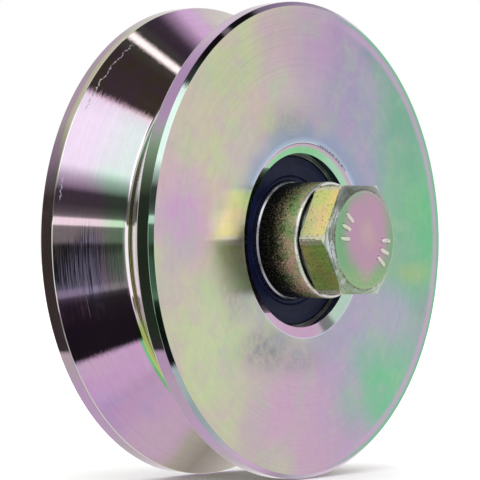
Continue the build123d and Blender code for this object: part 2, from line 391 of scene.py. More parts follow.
def build_bolt():
    cols = []
    face_rings = [0.0, 0.8, 1.8, 2.8, 3.8] + list(np.arange(4.6, 9.3, 0.11)) + [9.45, 9.65, 9.82, 9.95, FACE_R]
    for k in range(SEG):
        a = 2 * math.pi * k / SEG
        c, s = math.cos(a), math.sin(a)
        hx = hex_radius(a, 22.0, 0.45, turn=math.pi)
        prof = []
        for r in face_rings:
            y = HEAD_TOP + MARK - mark_height(r * c, r * s)
            if r > 9.5:
                y += 0.12 * ((r - 9.5) / (FACE_R - 9.5)) ** 2
            prof.append((r, y))
        y0 = prof[-1][1]
        for t in (0.15, 0.4, 0.7, 0.93):
            prof.append((FACE_R + (hx - FACE_R) * t, y0 + (hx - FACE_R) * t * 0.5774))
        top = y0 + (hx - FACE_R) * 0.5774
        bottom = BUSH_END - 0.35 - (hx - SEAT_R) * 0.404
        prof.append((hx, top + 0.06))
        for t in (0.05, 0.2, 0.4, 0.6, 0.8, 0.95):
            prof.append((hx, top + 0.06 + (bottom - top - 0.12) * t))
        prof.append((hx, bottom - 0.06))
        for t in (0.06, 0.35, 0.7, 0.95):
            prof.append((hx + (SEAT_R - hx) * t, bottom - (SEAT_R - hx) * 0.404 * t * -1 if False else bottom + (hx - SEAT_R) * 0.404 * t))
        prof += [(SEAT_R, BUSH_END - 0.35), (SEAT_R, BUSH_END), (7.4, BUSH_END), (7.0, BUSH_END + 0.3), (7.0, 0.0), (7.0, 14.0)]
        cols.append(prof)
    m = len(cols[0])
    V, F = [], []
    for k, prof in enumerate(cols):
        a = 2 * math.pi * k / SEG
        for i, (r, y) in enumerate(prof):
            p = [r * math.cos(a), y, r * math.sin(a)]
            if 0 < r and y < BUSH_END - 0.3:
                # forging skin: slow unevenness, and small dents near the corners
                edge = 1.0 if r > 9.0 else 0.35
                d = 0.030 * edge * fbm(p, 0.45, 3, 7.0)
                nearcorner = max(0.0, 1 - abs(r - 12.2) / 1.2) if r > 10.9 else 0.0
                d -= 0.05 * nearcorner * max(0.0, fbm(p, 1.6, 2, 21.0))
                if r <= FACE_R + 1e-6:
                    p[1] += abs(d) * 0.6
                else:
                    rr = r + min(0.0, d - 0.02)
                    p[0], p[2] = rr * math.cos(a), rr * math.sin(a)
            V.append([v * MM for v in p])
    for k in range(SEG):
        k2 = (k + 1) % SEG
        for i in range(m - 1):
            F.append([k * m + i, k * m + i + 1, k2 * m + i + 1, k2 * m + i])
    # rolled thread M14 x 2 from y = 14 to the end, as one helical strip
    pitch, major, minor = 2.0, 7.0, 5.77
    shape = [(0.0, minor + 0.0), (0.0625, minor), (0.14, minor + 0.07), (0.30, minor + 0.55), (0.46, major - 0.06), (0.50, major), (0.56, major), (0.60, major - 0.06), (0.76, minor + 0.55), (0.92, minor + 0.07)]
    ya, yb = 14.0, BOLT_END
    turns = int((yb - ya) / pitch) + 3
    base = len(V)
    ns = len(shape)
    total = turns * SEG
    for i in range(total + 1):
        a = 2 * math.pi * (i % SEG) / SEG
        for f, r in shape:
            y = ya - pitch + pitch * i / SEG + pitch * f
            yy = min(max(y, ya), yb)
            run = min(1.0, max(0.0, (yy - ya) / 3.0))
            rr = 7.0 + (r - 7.0) * run  # thread runs out into the plain shank
            rr = min(rr, 5.6 + (yb - yy) * 1.0)
            rr = min(rr, 7.0)
            if y <= ya:
                rr = 7.0
            if y >= yb:
                rr = 5.6
            V.append([rr * math.cos(a) * MM, yy * MM, rr * math.sin(a) * MM])
    for i in range(total):
        for j in range(ns):
            if j < ns - 1:
                q = [base + i * ns + j, base + i * ns + j + 1, base + (i + 1) * ns + j + 1, base + (i + 1) * ns + j]
            else:
                if i + 1 + SEG > total:
                    continue
                q = [base + i * ns + j, base + (i + SEG) * ns, base + (i + 1 + SEG) * ns, base + (i + 1) * ns + j]
            if all(abs(V[v][1] - ya * MM) < 1e-9 for v in q) or all(abs(V[v][1] - yb * MM) < 1e-9 for v in q):
                continue
            F.append(q)
    # end face, slightly dished
    end = len(V)
    rings = [(5.6, yb), (5.0, yb - 0.02), (3.5, yb - 0.06), (1.5, yb - 0.1)]
    for r, y in rings:
        for k in range(SEG):
            a = 2 * math.pi * k / SEG
            V.append([r * math.cos(a) * MM, y * MM, r * math.sin(a) * MM])
    V.append([0, (yb - 0.12) * MM, 0])
    for g in range(len(rings) - 1):
        for k in range(SEG):
            k2 = (k + 1) % SEG
            F.append([end + g * SEG + k, end + g * SEG + k2, end + (g + 1) * SEG + k2, end + (g + 1) * SEG + k])
    for k in range(SEG):
        F.append([end + (len(rings) - 1) * SEG + k, end + (len(rings) - 1) * SEG + (k + 1) % SEG, len(V) - 1])
    return grid_object("bolt_m14", V, F, 38)


bolt = build_bolt()
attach(bolt, "axle")
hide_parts("axle_bolt")


# ------------------------------------------------------------------ nut
def build_nut():
    y0, y1 = 27.15, 38.15
    turn = math.radians(14.0)
    cols = []
    for k in range(SEG):
        a = 2 * math.pi * k / SEG
        hx = hex_radius(a, 22.0, 0.4, turn=turn)
        f = 10.35
        prof = [(7.02, y0 + 0.75), (7.45, y0 + 0.25), (7.6, y0 + 0.03), (8.2, y0), (f - 0.25, y0), (f, y0 + 0.04)]
        for t in (0.2, 0.6, 0.94):
            prof.append((f + (hx - f) * t, y0 + 0.04 + (hx - f) * 0.5774 * t))
        c0 = y0 + 0.04 + (hx - f) * 0.5774
        c1 = y1 - 0.04 - (hx - f) * 0.5774
        prof.append((hx, c0 + 0.05))
        for t in (0.1, 0.35, 0.65, 0.9):
            prof.append((hx, c0 + (c1 - c0) * t))
        prof.append((hx, c1 - 0.05))
        for t in (0.94, 0.6, 0.2):
            prof.append((f + (hx - f) * t, y1 - 0.04 - (hx - f) * 0.5774 * t))
        prof += [(f, y1 - 0.04), (f - 0.25, y1), (8.2, y1), (7.6, y1 - 0.03), (7.45, y1 - 0.25), (7.02, y1 - 0.75)]
        cols.append(prof)
    m = len(cols[0])
    V, F = [], []
    for k, prof in enumerate(cols):
        a = 2 * math.pi * k / SEG
        for r, y in prof:
            rr = r
            if r > 10.4:
                p = (r * math.cos(a), y, r * math.sin(a))
                rr = r + min(0.0, 0.03 * fbm(p, 0.5, 3, 3.0) - 0.015)
            V.append([rr * math.cos(a) * MM, y * MM, rr * math.sin(a) * MM])
    for k in range(SEG):
        k2 = (k + 1) % SEG
        for i in range(m):
            i2 = (i + 1) % m
            F.append([k * m + i, k * m + i2, k2 * m + i2, k2 * m + i])
    return grid_object("hex_nut_m14", V, F, 38)


nut = build_nut()
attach(nut, "axle")
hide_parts("axle_nut")

# ------------------------------------------------------------------ spacer bushes with a slim spigot in the bearing
for side, s in (("front", -1), ("back", 1)):
    pts = [(7.1, 0.15), (8.5, 0.15), (8.5, 12.0), (11.9, 12.0), (11.9, 21.65), (7.1, 21.65)]
    rad = [0.1, 0.12, 0.05, 0.18, 0.62, 0.2]
    cut = [1, 4, 1, 8, 3, 6]
    if s < 0:
        pts = [(r, -y) for r, y in pts][::-1]
        rad = rad[::-1]
        cut = cut[:-1][::-1] + [cut[-1]]
        runs = rounded(pts, rad, cut, arc_steps=6)
    else:
        runs = rounded(pts, rad, cut, arc_steps=6)
    b = lathe(f"{side}_bush_turned", runs, 192)
    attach(b, "axle")
    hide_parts(f"{side}_bush")

# ================================================================== materials
PINK = srgb(200, 166, 200)
LILAC = srgb(184, 166, 206)
STRAW = srgb(196, 204, 160)
BEIGE = srgb(204, 188, 176)
GREEN = srgb(120, 190, 148)
OLIVE = srgb(170, 180, 132)
MINT = srgb(176, 222, 200)
GREY = srgb(156, 158, 170)


def wheel_material():
    m, g = material("zinc_chromate_turned")
    mm, x, y, z, rho, ang = g.millimetres()
    n_big = g.noise(mm, 0.035, 1.0, 0.4)
    n_mid = g.noise(mm, 0.075, 1.5, 0.45)
    n_cloud = g.noise(g.vmath("ADD", mm, (37.0, 11.0, -23.0)), 0.11, 2.0, 0.5, distortion=0.4)
    n_fine = g.noise(mm, 0.6, 2.0, 0.5)
    grain = g.noise(mm, 3.2, 2.0, 0.6)
    ring = g.noise(None, 2.6, 3.0, 0.65, dims="1D", w=rho)
    ring_fine = g.noise(None, 11.0, 2.0, 0.6, dims="1D", w=rho)
    around = g.noise(g.combine(g.math("MULTIPLY", rho, 1.4), g.math("MULTIPLY", ang, 0.03), y), 1.0, 3.0, 0.6)

    def blob(cx, cz, r, soft=0.8, wob=8.0, stretch=1.0):
        d = g.math("SQRT", g.math("ADD", g.math("POWER", g.math("SUBTRACT", x, cx), 2.0), g.math("POWER", g.math("DIVIDE", g.math("SUBTRACT", z, cz), stretch), 2.0)))
        d = g.math("ADD", d, g.math("MULTIPLY", g.math("SUBTRACT", n_cloud, 0.5), wob))
        return g.step(d, r * (1 + soft), r * (1 - soft))

    low = g.math("ADD", ang, g.math("MULTIPLY", g.math("SUBTRACT", n_mid, 0.5), 26.0))
    # front face: straw and beige clouds to the left, pink below and at the top, lilac and green to the right
    straw = g.mix(g.step(n_mid, 0.40, 0.58), BEIGE, STRAW)
    face = g.mix(g.step(g.math("ADD", x, g.math("MULTIPLY", g.math("SUBTRACT", n_cloud, 0.5), 24.0)), 10.0, -8.0), srgb(172, 164, 188), straw)
    for cx, cz, r, stretch, col, k in (
        (-40, 4, 7, 1.2, srgb(200, 160, 202), 0.9), (-43, 20, 5, 1.5, srgb(200, 178, 184), 0.6), (-44, -8, 4, 2.0, srgb(200, 172, 192), 0.5), (-39, 29, 7, 1.0, BEIGE, 0.5), (-30, 25, 8, 1.0, srgb(192, 196, 162), 0.5), (-21, 34, 8, 1.0, srgb(190, 192, 162), 0.6),
        (-27, -19, 12, 1.1, srgb(194, 204, 166), 0.85), (-20, -34, 7, 1.0, srgb(192, 196, 166), 0.55), (-19, 16, 7, 1.0, srgb(196, 178, 188), 0.6), (-24, 4, 4.5, 1.0, srgb(226, 210, 232), 0.6), (-18, -43, 7, 0.8, srgb(190, 166, 182), 0.65),
        (-4, 42, 9, 1.0, srgb(188, 164, 180), 0.7), (7, 40, 9, 1.0, srgb(184, 152, 186), 0.85), (19, 42, 7, 1.0, srgb(160, 146, 180), 0.7), (4, 30, 7, 1.0, srgb(178, 166, 186), 0.6),
        (17, 28, 9, 1.0, srgb(156, 152, 182), 0.75), (25, 17, 8, 1.0, srgb(152, 160, 182), 0.75),
        (-4, -33, 13, 0.9, srgb(197, 161, 192), 0.85), (4, -44, 10, 0.7, srgb(196, 162, 188), 0.8), (21, -42, 6, 1.0, srgb(184, 152, 190), 0.7), (20, -19, 8, 1.0, srgb(172, 164, 190), 0.8),
        (42, 4, 13, 1.7, srgb(110, 188, 138), 1.0), (33, -2, 8, 1.0, srgb(132, 180, 148), 0.85), (36, 27, 9, 1.3, srgb(120, 172, 148), 0.95), (28, 39, 6, 0.8, srgb(124, 160, 152), 0.65),
        (28, -31, 10, 1.0, srgb(120, 190, 150), 1.0), (16, -34, 5, 1.0, srgb(152, 182, 166), 0.4), (31, -16, 6, 0.8, srgb(172, 168, 192), 0.75), (43, -16, 4, 1.2, srgb(144, 156, 160), 0.6),
        (39, -7, 5, 0.4, srgb(164, 186, 130), 0.6), (-8, 29, 6, 1.0, srgb(196, 174, 190), 0.6),
    ):
        face = g.mix(g.math("MULTIPLY", blob(cx, cz, r, stretch=stretch), k), face, col)
    # the film's small uneven drift between pink and green
    drift = g.noise(g.vmath("ADD", mm, (9.0, -31.0, 4.0)), 0.20, 4.0, 0.55, distortion=0.6)
    drift2 = g.noise(g.vmath("ADD", mm, (-19.0, 13.0, 54.0)), 0.13, 4.0, 0.55, distortion=0.6)
    face = g.mix(g.math("MULTIPLY", g.step(drift, 0.40, 0.80), g.step(x, 34.0, 16.0, 0.12, 0.42)), face, srgb(200, 160, 196))
    face = g.mix(g.math("MULTIPLY", g.step(drift2, 0.60, 0.24), 0.34), face, srgb(164, 198, 156))
    arcs = g.math("MULTIPLY", g.step(ring_fine, 0.60, 0.68), g.math("MULTIPLY", g.band(rho, 35.0, 47.0, 2.5), g.band(low, 46.0, 84.0, 9.0)))
    face = g.mix(g.math("MULTIPLY", arcs, 0.30), face, srgb(120, 118, 110))
    # greyish bloom that follows the bore
    halo = g.math("MULTIPLY", g.step(rho, 27.5, 20.5), g.step(n_cloud, 0.36, 0.62, 0.15, 0.75))
    face = g.mix(halo, face, g.mix(g.step(z, -4.0, 8.0), srgb(162, 165, 180), srgb(146, 158, 182)))
    bloom = g.math("MULTIPLY", g.math("MULTIPLY", g.step(rho, 25.5, 20.2), g.step(z, 0.0, 12.0)), g.step(around, 0.30, 0.60, 0.45, 0.85))
    face = g.mix(bloom, face, srgb(144, 160, 186))
    # painted highlight: a light blue band round the bore's rim, on its upper side
    bore_rim_highlight = g.math("MULTIPLY", g.step(rho, 21.6, 20.2), g.step(z, -2.0, 10.0))
    face = g.mix(g.math("MULTIPLY", bore_rim_highlight, 0.55), face, srgb(188, 202, 222))
    # dull handled patches round the bore
    scuffed = g.math("ADD", g.math("MULTIPLY", n_fine, 0.6), g.math("ADD", g.math("MULTIPLY", grain, 0.25), g.math("MULTIPLY", around, 0.35)))
    scuffed = g.step(scuffed, 0.42, 0.78, 0.30, 0.95)
    dull = g.math("MULTIPLY", g.math("MAXIMUM", g.math("MULTIPLY", blob(-13, -22, 7.5, soft=0.95, wob=4.0, stretch=0.5), 0.9), g.math("MAXIMUM", g.math("MULTIPLY", blob(-5, 24.0, 8.0, soft=0.95, wob=4.0, stretch=0.45), 0.55), g.math("MAXIMUM", g.math("MULTIPLY", blob(-3, -24.5, 7.0, soft=0.95, wob=4.0, stretch=0.4), 0.6), g.math("MULTIPLY", blob(-22, -9, 5.0, soft=0.95, wob=4.0, stretch=1.3), 0.5)))), scuffed)
    face = g.mix(dull, face, srgb(132, 134, 144))
    # a pink line and a green one round the right-hand edge
    right = g.step(x, 5.0, 25.0)
    face = g.mix(g.math("MULTIPLY", g.math("MULTIPLY", g.band(rho, 45.9, 47.4, 0.7), right), 0.7), face, PINK)
    face = g.mix(g.math("MULTIPLY", g.math("MULTIPLY", g.step(rho, 47.1, 47.9), right), 0.9), face, GREEN)

    # groove flanks: pink to lilac, olive at the foot, mint deep in the groove
    flank = g.mix(g.step(n_big, 0.35, 0.65), srgb(188, 146, 190), srgb(196, 162, 192))
    flank = g.mix(g.math("MULTIPLY", g.step(n_mid, 0.45, 0.7), 0.35), flank, srgb(196, 176, 178))
    flank = g.mix(g.math("MULTIPLY", g.step(n_cloud, 0.5, 0.7), 0.32), flank, srgb(170, 158, 200))
    flank = g.mix(g.math("MULTIPLY", g.band(ang, 15.0, 40.0, 4.0), 0.9), flank, srgb(183, 171, 186))
    flank = g.mix(g.math("MULTIPLY", g.band(low, -2.0, 8.0, 4.0), 0.6), flank, srgb(196, 186, 176))
    flank = g.mix(g.math("MULTIPLY", g.step(low, -62.0, -74.0), 0.85), flank, srgb(172, 166, 146))
    flank = g.mix(g.math("MULTIPLY", g.math("MULTIPLY", g.band(low, 12.0, 34.0, 7.0), g.step(rho, 46.0, 39.5)), 0.8), flank, srgb(166, 180, 174))
    flank = g.mix(g.math("MULTIPLY", g.math("MULTIPLY", g.band(low, 13.0, 22.0, 4.0), g.step(rho, 45.5, 40.5)), 0.8), flank, srgb(148, 184, 162))
    flank = g.mix(g.math("MULTIPLY", g.math("MULTIPLY", g.band(low, -10.0, 14.0, 6.0), g.step(rho, 43.0, 40.0)), 0.8), flank, srgb(150, 190, 150))
    flank = g.mix(g.math("MULTIPLY", g.math("MULTIPLY", g.step(ang, 36.0, 42.0), g.step(ang, 60.0, 56.0)), 0.7), flank, srgb(206, 164, 172))
    flank = g.mix(g.math("MULTIPLY", g.step(low, 80.0, 96.0), 0.7), flank, srgb(206, 206, 186))
    flank = g.mix(g.math("MULTIPLY", g.band(ang, 55.0, 65.0, 2.0), 0.8), flank, srgb(226, 214, 206))
    flank = g.mix(g.math("MULTIPLY", g.band(ang, 70.0, 85.0, 4.0), 0.8), flank, srgb(224, 180, 226))
    streak = g.noise(g.combine(g.math("MULTIPLY", rho, 5.0), g.math("MULTIPLY", ang, 0.06), g.math("MULTIPLY", y, 2.0)), 1.0, 3.0, 0.7)
    flank = g.mix(g.math("MULTIPLY", g.math("MULTIPLY", g.band(low, -14.0, 0.0, 4.0), g.step(rho, 41.0, 43.5)), 0.7), flank, srgb(192, 190, 226))
    # painted reflection: dark streaks along the turning lines in one band of the back flank
    lines = g.math("MULTIPLY", g.step(g.math("ADD", streak, g.math("MULTIPLY", g.math("SUBTRACT", rho, 43.6), 0.014)), 0.475, 0.60), g.math("MULTIPLY", g.band(low, -12.0, 2.0, 3.0), g.step(rho, 41.5, 44.5, 0.45, 1.0)))
    flank = g.mix(g.math("MULTIPLY", lines, 0.85), flank, srgb(40, 36, 48))
    flank = g.mix(g.math("MULTIPLY", g.math("MULTIPLY", g.band(ang, 40.0, 57.0, 3.0), g.step(drift2, 0.42, 0.6)), 0.6), flank, srgb(190, 176, 120))
    # the groove's front side is pale, with a dark patch further up, and its round root white, olive and yellow-green by
    # turns; the pale front side and its dark patch are partly film colour, partly painted reflection
    flank = g.mix(g.math("MULTIPLY", g.math("MULTIPLY", g.step(y, -0.5, -0.9), g.band(ang, -30.0, 14.0, 6.0)), 0.9), flank, srgb(236, 222, 218))
    flank = g.mix(g.math("MULTIPLY", g.step(y, 0.0, -0.9), g.math("MULTIPLY", g.step(ang, 10.0, 20.0), 0.85)), flank, g.mix(g.step(ang, 22.0, 36.0), srgb(104, 98, 84), srgb(150, 118, 158)))
    root = g.mix(g.step(low, -20.0, -28.0), srgb(196, 196, 110), srgb(172, 208, 112))
    root = g.mix(g.band(low, 12.0, 60.0, 5.0), root, g.mix(g.step(ang, 18.0, 34.0), srgb(96, 104, 48), srgb(104, 170, 112)))
    foot = g.math("MULTIPLY", g.step(rho, 38.78, 38.70), g.step(y, 0.25, 0.10))
    flank = g.mix(g.math("MULTIPLY", foot, 0.9), flank, root)
    flank = g.mix(g.math("MULTIPLY", g.math("MULTIPLY", g.step(rho, 38.78, 38.70), g.step(y, 0.12, 0.22)), g.math("MULTIPLY", g.step(low, -30.0, -24.0), 0.9)), flank, srgb(240, 226, 236))
    sliver = g.math("MULTIPLY", g.mix(g.step(y, 0.0, -0.2), g.step(rho, 39.25, 39.10), g.step(rho, 44.0, 42.0)), g.band(ang, -62.0, -25.0, 3.0))
    tint = g.mix(g.step(y, 0.55, 0.85), srgb(192, 206, 112), srgb(118, 184, 126))
    flank = g.mix(g.math("MULTIPLY", sliver, 0.95), flank, g.mix(g.step(y, 0.0, -0.3), tint, srgb(206, 190, 180)))
    # lands
    land = g.mix(g.step(n_mid, 0.38, 0.62), srgb(202, 168, 204), srgb(196, 176, 190))
    land = g.mix(g.math("MULTIPLY", g.math("MULTIPLY", g.step(y, 0.0, 1.0), g.step(ang, 5.0, 30.0)), g.step(n_cloud, 0.44, 0.62, 0.05, 0.6)), land, srgb(170, 184, 152))
    land = g.mix(g.math("MULTIPLY", g.math("MULTIPLY", g.band(ang, 24.0, 52.0, 8.0), g.step(y, 0.0, -1.0)), 0.8), land, srgb(158, 126, 166))
    land = g.mix(g.math("MULTIPLY", g.math("MULTIPLY", g.band(low, -22.0, 26.0, 8.0), g.step(y, 0.0, -1.0)), 0.85), land, srgb(150, 190, 146))
    land = g.mix(g.math("MULTIPLY", g.math("MULTIPLY", g.band(low, 18.0, 62.0, 8.0), g.step(y, 0.0, 1.0)), 0.7), land, srgb(152, 130, 144))
    land = g.mix(g.math("MULTIPLY", g.math("MULTIPLY", g.band(low, -24.0, 12.0, 6.0), g.step(y, 0.0, 1.0)), 0.85), land, srgb(240, 208, 198))
    land = g.mix(g.math("MULTIPLY", g.math("MULTIPLY", g.band(low, 18.0, 75.0, 8.0), g.band(y, 10.9, 12.2, 0.4)), 0.6), land, srgb(190, 196, 140))
    chamfer = g.mix(g.step(n_mid, 0.4, 0.6), srgb(198, 188, 206), srgb(206, 176, 204))
    chamfer = g.mix(g.math("MULTIPLY", g.band(ang, -56.0, -24.0, 10.0), 0.75), chamfer, srgb(136, 166, 160))
    # painted dark reflection: a near-black band on the chamfers at 42-71 degrees
    chamfer = g.mix(g.math("MULTIPLY", g.band(ang, 42.0, 71.0, 2.0), 0.93), chamfer, srgb(60, 56, 62))
    chamfer = g.mix(g.math("MULTIPLY", g.band(ang, 73.0, 106.0, 5.0), 0.9), chamfer, srgb(120, 98, 134))
    chamfer = g.mix(g.band(low, -24.0, 42.0, 6.0), chamfer, srgb(172, 190, 182))
    chamfer = g.mix(g.band(low, -24.0, 8.0, 5.0), chamfer, srgb(112, 160, 130))
    # countersunk mouth of the bore
    mouth = g.mix(g.step(z, -4.0, 10.0), srgb(196, 160, 190), srgb(140, 204, 150))
    mouth = g.mix(g.math("MULTIPLY", g.step(x, 2.0, 12.0), 0.8), mouth, srgb(176, 214, 190))
    mouth = g.mix(g.math("MULTIPLY", g.math("MULTIPLY", g.step(rho, 18.95, 19.6), g.step(z, 6.0, 12.0)), 0.85), mouth, srgb(200, 166, 194))

    # pick by where the surface is
    on_face = g.step(g.math("ABSOLUTE", y), 14.72, 14.745)
    inner = g.step(g.math("ABSOLUTE", y), 11.35, 11.15)
    groove = g.math("MULTIPLY", inner, g.step(rho, 37.4, 37.8))
    on_land = g.math("MULTIPLY", g.step(rho, 48.91, 48.97), g.math("SUBTRACT", 1.0, groove))
    base = g.mix(on_land, g.mix(on_face, chamfer, face), land)
    base = g.mix(groove, base, flank)
    # painted highlight: a pale line on the rounded edges where the lands meet the groove
    crest_highlight = g.math("MULTIPLY", g.math("MULTIPLY", g.band(g.math("ABSOLUTE", y), 10.86, 11.16, 0.05), g.step(rho, 48.6, 48.72)), 0.55)
    base = g.mix(crest_highlight, base, srgb(232, 236, 214))
    base = g.mix(g.math("MULTIPLY", g.math("SUBTRACT", 1.0, on_face), g.step(rho, 20.6, 20.3)), base, mouth)
    # painted highlight: a pale blue-white line round the bore's countersunk mouth
    lip_edge_highlight = g.math("MULTIPLY", g.band(rho, 20.02, 20.28, 0.06), g.step(y, -14.2, -14.5))
    base = g.mix(g.math("MULTIPLY", lip_edge_highlight, 0.55), base, srgb(206, 218, 230))
    rim_line = g.math("MULTIPLY", g.math("MULTIPLY", g.band(rho, 19.86, 20.03, 0.05), g.step(y, -14.2, -14.45)), g.band(ang, 62.0, 128.0, 14.0))
    base = g.mix(g.math("MULTIPLY", rim_line, 0.7), base, srgb(70, 62, 74))
    nick = g.noise(None, 1.1, 2.0, 0.6, dims="1D", w=g.math("ADD", ang, 40.0))
    nick = g.math("MULTIPLY", g.math("MULTIPLY", g.band(ang, 104.0, 134.0, 2.0), g.step(nick, 0.44, 0.52)), g.math("MULTIPLY", g.band(rho, 20.0, 20.42, 0.08), g.step(y, -14.0, -14.4)))
    base = g.mix(g.math("MULTIPLY", nick, 0.85), base, srgb(52, 50, 56))
    # fine life: mottle and turning lines
    tone = g.math("ADD", 0.97, g.math("MULTIPLY", g.math("SUBTRACT", n_fine, 0.5), 0.10))
    tone = g.math("ADD", tone, g.math("MULTIPLY", g.math("SUBTRACT", ring, 0.5), 0.10))
    tone = g.math("ADD", tone, g.math("MULTIPLY", g.math("SUBTRACT", around, 0.5), 0.10))
    tone = g.math("ADD", tone, g.math("MULTIPLY", g.math("SUBTRACT", grain, 0.5), 0.04))
    base = g.mix(1.0, base, g.combine(tone, tone, tone), "MULTIPLY")

    # a long handling scratch near the groove's outer edge, and a shorter one
    wander = g.noise(None, 0.32, 3.0, 0.7, dims="1D", w=ang)
    gap = g.noise(None, 0.9, 2.0, 0.6, dims="1D", w=ang)
    centre = g.math("ADD", g.math("MULTIPLY", ang, -0.014), g.math("ADD", 48.35, g.math("MULTIPLY", g.math("SUBTRACT", wander, 0.5), 0.8)))
    off = g.math("ABSOLUTE", g.math("SUBTRACT", rho, centre))
    width = g.math("MULTIPLY", g.step(gap, 0.3, 0.7), 0.11)
    scratch = g.step(g.math("SUBTRACT", off, width), 0.035, -0.01)
    where = g.math("ADD", g.math("MULTIPLY", g.band(ang, 33.0, 57.0, 1.0), 0.9), g.math("MULTIPLY", g.band(ang, 10.0, 15.0, 1.0), 0.8))
    scratch = g.math("MULTIPLY", g.math("MULTIPLY", scratch, where), g.math("MULTIPLY", g.step(y, 0.0, 1.0), groove))
    base = g.mix(g.math("MULTIPLY", scratch, 0.85), base, srgb(206, 210, 226))

    rough = g.mix(on_face, (0.036, 0.036, 0.036), (0.13, 0.13, 0.13))
    rough = g.math("ADD", rough, g.math("MULTIPLY", g.math("MULTIPLY", dull, on_face), 0.16))
    rough = g.math("ADD", rough, g.math("MULTIPLY", g.step(y, 14.6, 14.74), 0.16))
    rough = g.math("ADD", g.math("ADD", rough, g.math("MULTIPLY", g.step(n_fine, 0.5, 0.8), 0.02)), g.math("MULTIPLY", g.math("SUBTRACT", ring, 0.5), 0.02))
    rough = g.math("ADD", rough, g.math("MULTIPLY", scratch, 0.45))
    height = g.math("ADD", g.math("MULTIPLY", ring, 0.6), g.math("MULTIPLY", ring_fine, 0.4))
    nb = g.bump(height, 0.06, 0.0001)
    nb = g.bump(around, 0.006, 0.0002, nb)
    g.surface(Base_Color=base, Metallic=1.0, Roughness=rough, Anisotropic=0.9, Anisotropic_Rotation=0.25, Normal=nb, Tangent=g.around_y())
    return m


